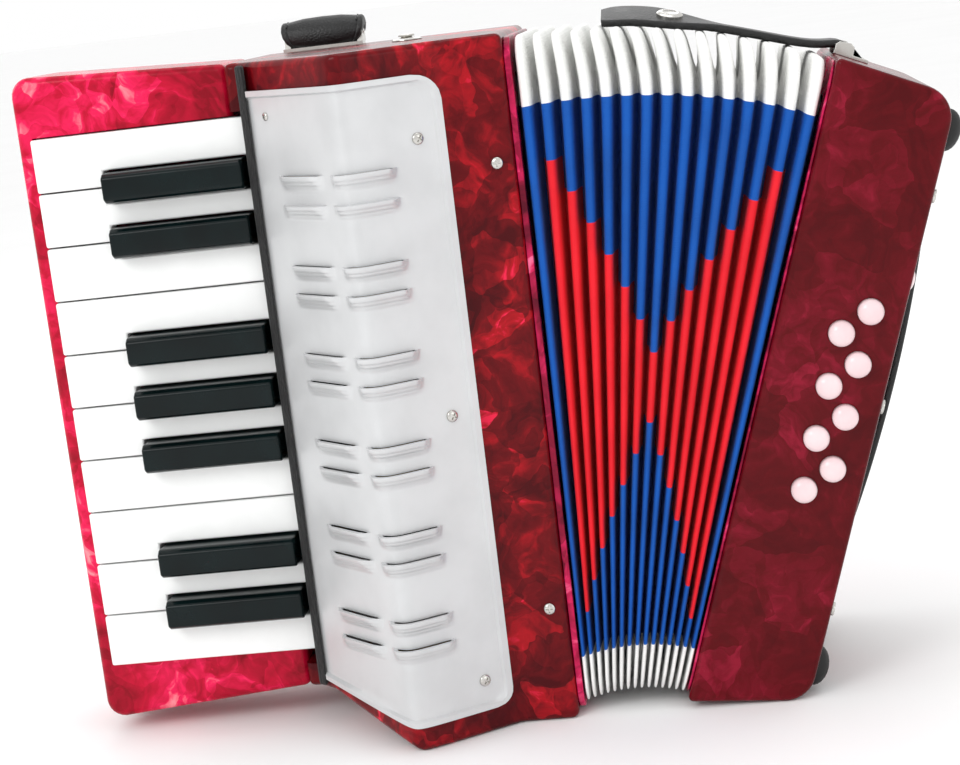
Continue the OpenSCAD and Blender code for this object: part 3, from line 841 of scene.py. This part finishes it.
def bellows_heights(share):
    """Lowest and highest level of the crest at that share of the fan."""
    first = 1 / (CRESTS + 1)
    last = CRESTS / (CRESTS + 1)
    t = (share - first) / (last - first)
    low = PLEAT_FIRST[0][2] + t * (PLEAT_LAST[0][2] - PLEAT_FIRST[0][2])
    high = PLEAT_FIRST[1][2] + t * (PLEAT_LAST[1][2] - PLEAT_FIRST[1][2])
    return low, high


def bellows_ring(share, depth):
    """One closed loop round the bellows, sunk by depth, as Y and Z."""
    low, high = bellows_heights(share)
    y_low, y_high = PLEAT_FIRST[0][1] + depth, PLEAT_FIRST[1][1] - depth
    z_low, z_high = low + depth, high - depth
    radius = max(CORNER - depth, 1)
    grid = list(range(28, 188, 2))
    upward = [low + CORNER, low + (CORNER + WHITE_BAND) / 2, low + WHITE_BAND] + grid
    band = top_band(share)
    upward += [high - band, high - (CORNER + band) / 2, high - CORNER]
    upward = [min(max(z, z_low + radius), z_high - radius) for z in upward]
    ring = [(y_low, z) for z in upward]
    ring += arc((y_low + radius, z_high - radius), radius, 180, 90, 6)[1:]
    middle = [y_low + radius + (y_high - y_low - 2 * radius) * i / 8 for i in range(1, 8)]
    ring += [(y, z_high) for y in middle]
    ring += arc((y_high - radius, z_high - radius), radius, 90, 0, 6)
    ring += [(y_high, z) for z in reversed(upward[:-1])]
    ring += arc((y_high - radius, z_low + radius), radius, 0, -90, 6)[1:]
    ring += [(y, z_low) for y in reversed(middle)]
    ring += arc((y_low + radius, z_low + radius), radius, -90, -180, 6)[:-1]
    return ring


def top_band(share):
    """Depth of the white band along the top of the bellows, widest beside the treble casing."""
    return TOP_BAND[0] + (TOP_BAND[1] - TOP_BAND[0]) * min(share * 1.2, 1)


def zone(crest, z, low, high, on_side):
    band = top_band((crest - 0.5) / CRESTS)
    if not on_side or z < low + WHITE_BAND - 0.1 or z > high - band + 0.1:
        return WHITE
    reach = DIAMOND_TIP + DIAMOND_STEP * abs(crest - (CRESTS + 1) / 2)
    if 1 < crest < CRESTS and abs(z - DIAMOND_MIDDLE) < reach:
        return RED
    return BLUE


def bellows():
    """One pleated sheet: crests and valleys each turn by their own share of the fan."""
    stations = [(crest + offset, depth) for crest in range(1, CRESTS + 1)
                for offset, depth in FOLD] + [(CRESTS + 0.5, FOLD[0][1])]
    points = []
    weights = []
    for where, depth in stations:
        share = (where - 0.5) / CRESTS
        ring = bellows_ring(share, depth)
        high = bellows_heights(share)[1]
        for y, z in ring:
            bend = min(max((z - (high - SWEPT_HEIGHT)) / SWEPT_HEIGHT, 0), 1)
            swept = share - TOP_SWEEP * 4 * share * (1 - share) * bend**2
            x = BELLOWS_START + (BELLOWS_END - BELLOWS_START) * swept
            points.append(lean(swept) @ Vector((x, y, z)))
            weights.append(swept)
    count = len(ring)
    faces = []
    numbers = []
    for s in range(len(stations) - 1):
        middle = (stations[s][0] + stations[s + 1][0]) / 2
        crest = min(max(round(middle), 1), CRESTS)
        low, high = bellows_heights((crest - 0.5) / CRESTS)
        here = bellows_ring((middle - 0.5) / CRESTS, 0)
        for c in range(count):
            d = (c + 1) % count
            faces.append((s * count + c, s * count + d, (s + 1) * count + d, (s + 1) * count + c))
            z = (here[c][1] + here[d][1]) / 2
            flat = abs(here[c][0] - here[d][0]) < 1e-6
            numbers.append(zone(crest, z, low, high, flat))
    obj = new_object("bellows_cloth", points, faces)
    thick = obj.modifiers.new("card", "SOLIDIFY")
    thick.thickness = 0.35 * MM
    thick.offset = 1
    obj.data.polygons.foreach_set("material_index", numbers)
    weight = obj.data.attributes.new("turn_share", "FLOAT", "POINT")
    weight.data.foreach_set("value", weights)
    apply_modifiers(obj)
    shade(obj, 50)
    shares = np.empty(len(obj.data.vertices), np.float32)
    obj.data.attributes["turn_share"].data.foreach_get("value", shares)
    numbers = [p.material_index for p in obj.data.polygons]
    for name in ("blue_cloth", "red_cloth", "white_cloth"):
        obj.data.materials.append(materials[name])
    obj.data.polygons.foreach_set("material_index", numbers)
    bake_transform(obj)
    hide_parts(*[node for node in nodes if node.startswith("pleat_")])


def bellows_frames():
    """Narrow frames that clamp the ends of the bellows to the two casings."""
    for name, node, body, place, low_x, high_x, inset in (
            ("treble_bellows_frame", "bellows_frame_treble", "treble", TREBLE,
             0.1, FRAME_TREBLE, 0.9),
            ("bass_bellows_frame", "bellows_frame_bass", "bass", BASS,
             BELLOWS_END, BASS_LOW[0] - 0.05, 0.7)):
        low, high = extent(node, place)
        outer = rounded_rectangle(low[1] + inset, low[2] + inset, high[1] - inset,
                                  high[2] - inset, CORNER)
        obj = prism(name, outer, low_x, high_x, "x")
        bevel(obj, 0.35, 3, 35)
        depth = 12
        cut(obj, box("inside", (low_x - 1, low[1] + depth, low[2] + depth),
                     (high_x + 1, high[1] - depth, high[2] - depth)))
        shade(obj, 35)
        finish_piece(obj, "frame", body, [node], place)


# ---------- bass casing
END_LOW, END_HIGH = extent("bass_end_plate", BASS)
BASS_RADIUS = 10
SLOPE_LOW = math.radians(13.8)
SLOPE_HIGH = math.radians(6.2)
LOW_CORNER = (END_HIGH[0] - BASS_RADIUS, 24.55)
HIGH_CORNER = (END_HIGH[0] - BASS_RADIUS, 199.81)


def bass_outline(inset, start_x):
    radius = BASS_RADIUS - inset
    reach = LOW_CORNER[0] - start_x
    low = LOW_CORNER[1] - radius / math.cos(SLOPE_LOW) - reach * math.tan(SLOPE_LOW)
    high = HIGH_CORNER[1] + radius / math.cos(SLOPE_HIGH) + reach * math.tan(SLOPE_HIGH)
    outline = [(start_x, low)]
    outline += arc(LOW_CORNER, radius, -90 + math.degrees(SLOPE_LOW), 0, 9)
    outline += arc(HIGH_CORNER, radius, 0, 90 - math.degrees(SLOPE_HIGH), 9)
    return outline + [(start_x, high)]


def cylinders(name, radius, places, direction, reach):
    """Cutters along direction, centred on places."""
    shape = Shape()
    for place in places:
        shape.lathe([(radius, -reach), (radius, reach)], place, direction, 40)
    return shape.object(name)


def node_middle(node, place):
    low, high = extent(node, place)
    return (low + high) / 2


def bass_shell():
    """The casing, and the end plate let into its end."""
    plate_x = END_LOW[0]
    edge = 2.4
    gap = 0.15
    casing = prism("bass_shell", bass_outline(0, BASS_LOW[0]), FRONT, BACK, "y")
    bevel(casing, 1.8, 4, 35)
    holes = [node_middle(n, BASS) for n in nodes if n.startswith("bass_button")]
    holes = [(p[0], FRONT, p[2]) for p in holes]
    seat = prism("seat", bass_outline(-0.5, BASS_LOW[0]), FRONT + edge, BACK - edge, "y")
    cut(seat, box("rest", (-100, -100, -50), (plate_x - gap, 100, 300)))
    air = node_middle("air_button", BASS)
    cut(casing, prism("inside", bass_outline(WALL, 20), FRONT + WALL, BACK - WALL, "y"),
        seat, cylinders("holes", 4.15, holes, (0, 1, 0), 5),
        cylinders("air_passage", 4.15, [(plate_x, air[1], air[2])], (1, 0, 0), 6))
    shade(casing, 35)
    finish_piece(casing, "bass", "bass", ["bass_casing"], BASS)

    plate = prism("bass_end", bass_outline(0, BASS_LOW[0]), FRONT + edge + gap,
                  BACK - edge - gap, "y")
    cut(plate, box("rest", (-100, -100, -50), (plate_x, 100, 300)))
    bevel(plate, 0.3, 3, 35)
    cut(plate, cylinders("air_hole", 4.15, [(plate_x, air[1], air[2])], (1, 0, 0), 6))
    shade(plate, 35)
    finish_piece(plate, "bass", "bass", ["bass_end_plate"], BASS)


def foot_places():
    """Where the rubber feet sit on the end of the bass casing, as Y and Z."""
    return [(y, z) for y in (-28, 40) for z in (LOW_CORNER[1] + 1, HIGH_CORNER[1] - 2)]


def buttons():
    """Domed buttons; the guide of each goes on through its hole."""
    for node in sorted(nodes):
        if not (node.startswith("bass_button") or node == "air_button"):
            continue
        low, high = extent(node, BASS)
        middle = (low + high) / 2
        along = (0, -1, 0)
        base = (middle[0], high[1], middle[2])
        length = high[1] - low[1]
        if node == "air_button":
            along = (1, 0, 0)
            base = (low[0], middle[1], middle[2])
            length = high[0] - low[0]
        shape = Shape()
        profile = [(3.4, 0), (4, 0.5), (4, length - 2.2)]
        profile += [(4 * math.cos(a), length - 2.2 + 2.2 * math.sin(a))
                    for a in (0.25, 0.5, 0.75, 1.0, 1.25, 1.42)]
        shape.lathe(profile, base, along, 36)
        obj = shape.object("visual_" + node)
        shade(obj)
        finish_piece(obj, "button", node, [node], BASS)


def bass_feet():
    shape = Shape()
    low, high = extent("bass_feet", BASS)
    radius = 6.5
    reach = high[0] - low[0]
    profile = [(radius - 0.3, 0), (radius, 0.3), (radius, 2.2)]
    profile += [(radius * math.cos(a), 2.2 + (reach - 2.2) * math.sin(a))
                for a in (0.2, 0.45, 0.7, 0.95, 1.2, 1.42)]
    for y, z in foot_places():
        shape.lathe(profile, (low[0], y, z), (1, 0, 0), 36)
    obj = shape.object("rubber_feet")
    shade(obj)
    finish_piece(obj, "rubber", "bass", ["bass_feet"], BASS)


# ---------- straps
# Y and Z of the bars that the shoulder strap loops round, and X and Y of the snap stud
TOP_LOOP = (BACK - 1, HEIGHT + 4.2)
FOOT_LOOP = (BACK + 4, 19)
STUD = (-34, 5)


def strap_section(width, thickness, crown):
    """Cross-section of a stitched strap as (across, up) pairs: a groove runs along each edge."""
    half = width / 2
    top = thickness / 2
    side = [(-half, -top + 0.5), (-half, top - 0.6), (-half + 0.6, top - 0.05),
            (-half + 1.5, top), (-half + 2.0, top - 0.3), (-half + 2.5, top)]
    side += [(-half * 0.45, top + 0.8 * crown), (0, top + crown)]
    mirrored = [(-u, v) for u, v in reversed(side[:-1])]
    return side + mirrored + [(half - 0.5, -top), (0, -top), (-half + 0.5, -top)]


def stitch_mesh():
    shape = Shape()
    profile = [(0.05, -1.0), (0.22, -0.8), (0.26, 0), (0.22, 0.8), (0.05, 1.0)]
    shape.lathe(profile, (0, 0, 0), (0, 0, 1), 8)
    obj = shape.object("stitch")
    mesh = obj.data.copy()
    bpy.data.objects.remove(obj)
    return mesh


STITCH = stitch_mesh()


def resampled(path, step):
    """Points on a path at even distances."""
    points = [Vector(p) for p in path]
    distances = [0]
    for a, b in zip(points, points[1:]):
        distances.append(distances[-1] + (b - a).length)
    count = max(2, round(distances[-1] / step))
    at = np.linspace(0, distances[-1], count + 1)
    return [Vector([np.interp(d, distances, [p[k] for p in points]) for k in range(3)])
            for d in at]


def strap(shape, path, across, width, thickness, crown, twist=None, stitched=(0, 1)):
    """Sweeps a strap along a path. across is its width direction; twist(share) turns it."""
    points = resampled(path, 1.6)
    section = strap_section(width, thickness, crown)
    across = Vector(across).normalized()
    rows = []
    count = len(points)
    for i, p in enumerate(points):
        along = (points[min(i + 1, count - 1)] - points[max(i - 1, 0)]).normalized()
        u = across
        up = along.cross(u).normalized()
        if twist:
            turn = Matrix.Rotation(twist(i / (count - 1)), 3, along)
            u = turn @ u
            up = turn @ up
        narrow = 1
        ends = min(i, count - 1 - i)
        if ends < 3:
            narrow = (0.78, 0.9, 0.97)[ends]
        rows.append([p + u * (a * narrow) + up * b for a, b in section])
        share = i / (count - 1)
        if i % 2 == 0 and stitched[0] < share < stitched[1] and ends > 2:
            for side in (-1, 1):
                seat = p + u * (side * (width / 2 - 2.0)) + up * (thickness / 2 - 0.12)
                shape.add_mesh(STITCH, turned_to(along, seat), 1)
    shape.grid(rows, closed_across=True, capped=True)


def finish_strap(shape, name, body, stands_for, place):
    """Makes a strap's mesh; each part keeps its number in vinyl, thread and nickel."""
    obj = shape.object(name)
    obj.data.polygons.foreach_set("material_index", shape.numbers)
    shade(obj, 50)
    numbers = [p.material_index for p in obj.data.polygons]
    looks = ["vinyl", "thread", "nickel"][:max(numbers) + 1]
    finish_piece(obj, looks, body, stands_for, place)
    obj.data.polygons.foreach_set("material_index", numbers)
    return obj


def shoulder_strap():
    """Looped round the two bars and bowed out from the back, with its end folded over on top."""
    low, high = extent("shoulder_strap", TREBLE)
    middle = (low[0] + high[0]) / 2
    top_z = HEIGHT + 2
    half = (top_z - FOOT_LOOP[1]) / 2
    bow = 20
    thickness = 2.5
    radius = (half * half + bow * bow) / (2 * bow)
    centre = (BACK + 2.8 + bow - radius, FOOT_LOOP[1] + half)
    reach = math.degrees(math.asin((half - 5) / radius))
    path = arc(TOP_LOOP, 2.75, 215, 20, 14)
    path += arc(centre, radius - thickness / 2, reach, -reach, 40)
    path += arc(FOOT_LOOP, 2.5, 20, -200, 12)
    shape = Shape()
    strap(shape, [(middle, y, z) for y, z in path], (-1, 0, 0), high[0] - low[0], thickness,
          0.35, stitched=(0.12, 0.9))
    roll = arc(TOP_LOOP, 3.7, 221, -41, 16)
    strap(shape, [(middle, y, z) for y, z in roll], (-1, 0, 0), high[0] - low[0] + 5.4, 4.0, 0.9,
          stitched=(0.1, 0.9))
    finish_strap(shape, "shoulder_strap_leather", "treble", ["shoulder_strap"], TREBLE)


def hand_strap():
    """Lies along the end of the bass casing, clamped at both ends and bowed between them."""
    low, high = extent("hand_strap", BASS)
    middle_y = (low[1] + high[1]) / 2
    middle_z = (LOW_CORNER[1] + HIGH_CORNER[1]) / 2
    half = 76
    bow = 6
    thickness = 2.5
    radius = (half * half + bow * bow) / (2 * bow)
    reach = math.degrees(math.asin((half - 6) / radius))
    centre = (END_HIGH[0] + thickness + bow - radius, middle_z)
    end = half + 5.5
    flat_x = END_HIGH[0] + thickness / 2
    path = [(flat_x, middle_z - end), (flat_x, middle_z - half)]
    path += arc(centre, radius - thickness / 2, -reach, reach, 40)
    path += [(flat_x, middle_z + half), (flat_x, middle_z + end)]
    shape = Shape()
    strap(shape, [(x, middle_y, z) for x, z in path], (0, 1, 0), high[1] - low[1], thickness,
          0.4, stitched=(0.08, 0.92))
    finish_strap(shape, "hand_strap_leather", "bass", ["hand_strap"], BASS)


def bellows_strap():
    """Unsnapped, it rests on the crests, with its free end turned a little to the front.
    """
    low, high = extent("bellows_strap", BASS)
    middle = (low[1] + high[1]) / 2
    pin = (39.4, HEIGHT - 1.1)
    course = arc(pin, 2.1, -60, 110, 8)
    course += [(36.5, 215.8), (33, 214.5), (29, 213.9), (23, 213.6), (15, 213.5), (5, 213.3),
               (-4, 213.0), (-12, 212.6), (-20, 212.4), (-27, 211.4), (-33, 210.0), (-36.5, 208.6)]
    path = [(x, middle, z) for x, z in course]
    smooth = resampled(path, 3)
    for _ in range(2):
        inner = [(a + 2 * b + c) / 4 for a, b, c in zip(smooth, smooth[1:], smooth[2:])]
        smooth = [smooth[0]] + inner + [smooth[-1]]
    shape = Shape()

    def twist(share):
        t = min(max((share - 0.5) / 0.3, 0), 1)
        return math.radians(-13) * t * t * (3 - 2 * t)
    strap(shape, smooth, (0, 1, 0), high[1] - low[1], 2.3, 0.3, twist, (0.25, 0.97))
    tip = smooth[-8]
    snap_at = tip + Vector((0, -1.2, 1.3))
    shape.lathe([(4.2, -0.6), (4.2, 0.5), (3.6, 1.0), (2.6, 1.15), (2.2, 0.9), (0.1, 0.85)],
                snap_at, (-0.1, -0.24, 1), 32, 2)
    obj = finish_strap(shape, "bellows_strap_leather", "bellows_strap", ["bellows_strap"], BASS)
    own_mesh(obj)


# ---------- the rest of the CAD nodes
def carried_over():
    """Hidden pieces keep the CAD shape and get a finish of their own."""
    for node, name in (("treble_soundboard", "plywood"), ("treble_reed_block", "reed_wood"),
                       ("bass_reed_block", "reed_wood"), ("key_axle", "steel")):
        nodes[node].data.materials.clear()
        nodes[node].data.materials.append(materials[name])


def felt_strip():
    """The strip between the keys and the grille stands a little proud of both."""
    low, high = extent("key_felt_strip", TREBLE)
    x, y = FACET_START
    end = GRILLE_LOW[0]
    outline = [(x, y + 0.2), (end, front_y(end)), (end, front_y(end) - 3.2), (x + 0.6, y - 4.4)]
    obj = prism("felt_strip", outline, low[2], high[2], "z")
    bevel(obj, 0.8, 3, 32)
    shade(obj, 40)
    finish_piece(obj, "felt", "treble", ["key_felt_strip"], TREBLE)


def strap_fittings():
    """The snap stud on the casing, and the brackets and bars of the shoulder strap."""
    low, high = extent("shoulder_strap", TREBLE)
    lug = 1.9
    shape = Shape()
    stud = [(4.6, -0.1), (4.9, 0.2), (4.8, 0.5), (4.2, 0.8), (2.0, 0.9), (1.7, 1.2), (2.5, 1.35),
            (2.65, 1.6), (2.4, 1.95), (1.4, 2.1), (0.1, 2.1)]
    shape.lathe(stud, (STUD[0], STUD[1], HEIGHT), (0, 0, 1), 36)
    for x in (low[0] - 0.1 - lug, high[0] + 0.1):
        upper = [(BACK - 5, HEIGHT - 0.05)] + arc(TOP_LOOP, 3.4, 180, 0, 12)
        upper += [(BACK + 2.4, HEIGHT + 0.9), (BACK - 1, HEIGHT - 0.05)]
        shape.add_object(prism("upper_lug", upper, x, x + lug, "x"))
        lower = [(BACK - 0.05, 15.6)] + arc(FOOT_LOOP, 3, -80, 80, 12) + [(BACK - 0.05, 22.4)]
        shape.add_object(prism("lower_lug", lower, x, x + lug, "x"))
    wide = (low[0] - lug - 0.4, high[0] + lug + 0.4)
    shape.add_object(box("upper_plate", (wide[0], BACK - 7, HEIGHT - 0.05),
                         (wide[1], BACK - 1, HEIGHT + 1.0)))
    shape.add_object(box("lower_plate", (wide[0], BACK - 0.05, 13.5),
                         (wide[1], BACK + 1.1, 24.5)))
    for y, z in (TOP_LOOP, FOOT_LOOP):
        bar = [(0.9, 0), (1.1, 0.2), (1.1, wide[1] - wide[0] - 0.2), (0.9, wide[1] - wide[0])]
        shape.lathe(bar, (wide[0], y, z), (1, 0, 0), 24)
    obj = shape.object("strap_fittings")
    shade(obj, 35)
    finish_piece(obj, "nickel", "treble", ["strap_hardware"], TREBLE)


def trims():
    felt_strip()
    strap_fittings()
    softened("bass_fittings", "bass_hardware", 0.25, "nickel", "bass")


def floor():
    half = 60
    obj = new_object("floor", [(-half, -half, 0), (half, -half, 0), (half, half, 0),
                               (-half, half, 0)], [(0, 1, 2, 3)])
    s = Surface("pale_floor", 0.7)
    s.colour(s.ramp(s.noise(4, 3).outputs["Fac"], [(0.3, tone(250, 250, 250)),
                                                   (0.7, tone(253, 253, 253))]))
    obj.data.materials.append(s.material)


treble_shell()
keyboard_slab()
keys()
grille()
treble_screws()
bellows()
bellows_frames()
bass_shell()
buttons()
bass_feet()
shoulder_strap()
hand_strap()
bellows_strap()
carried_over()
trims()
floor()
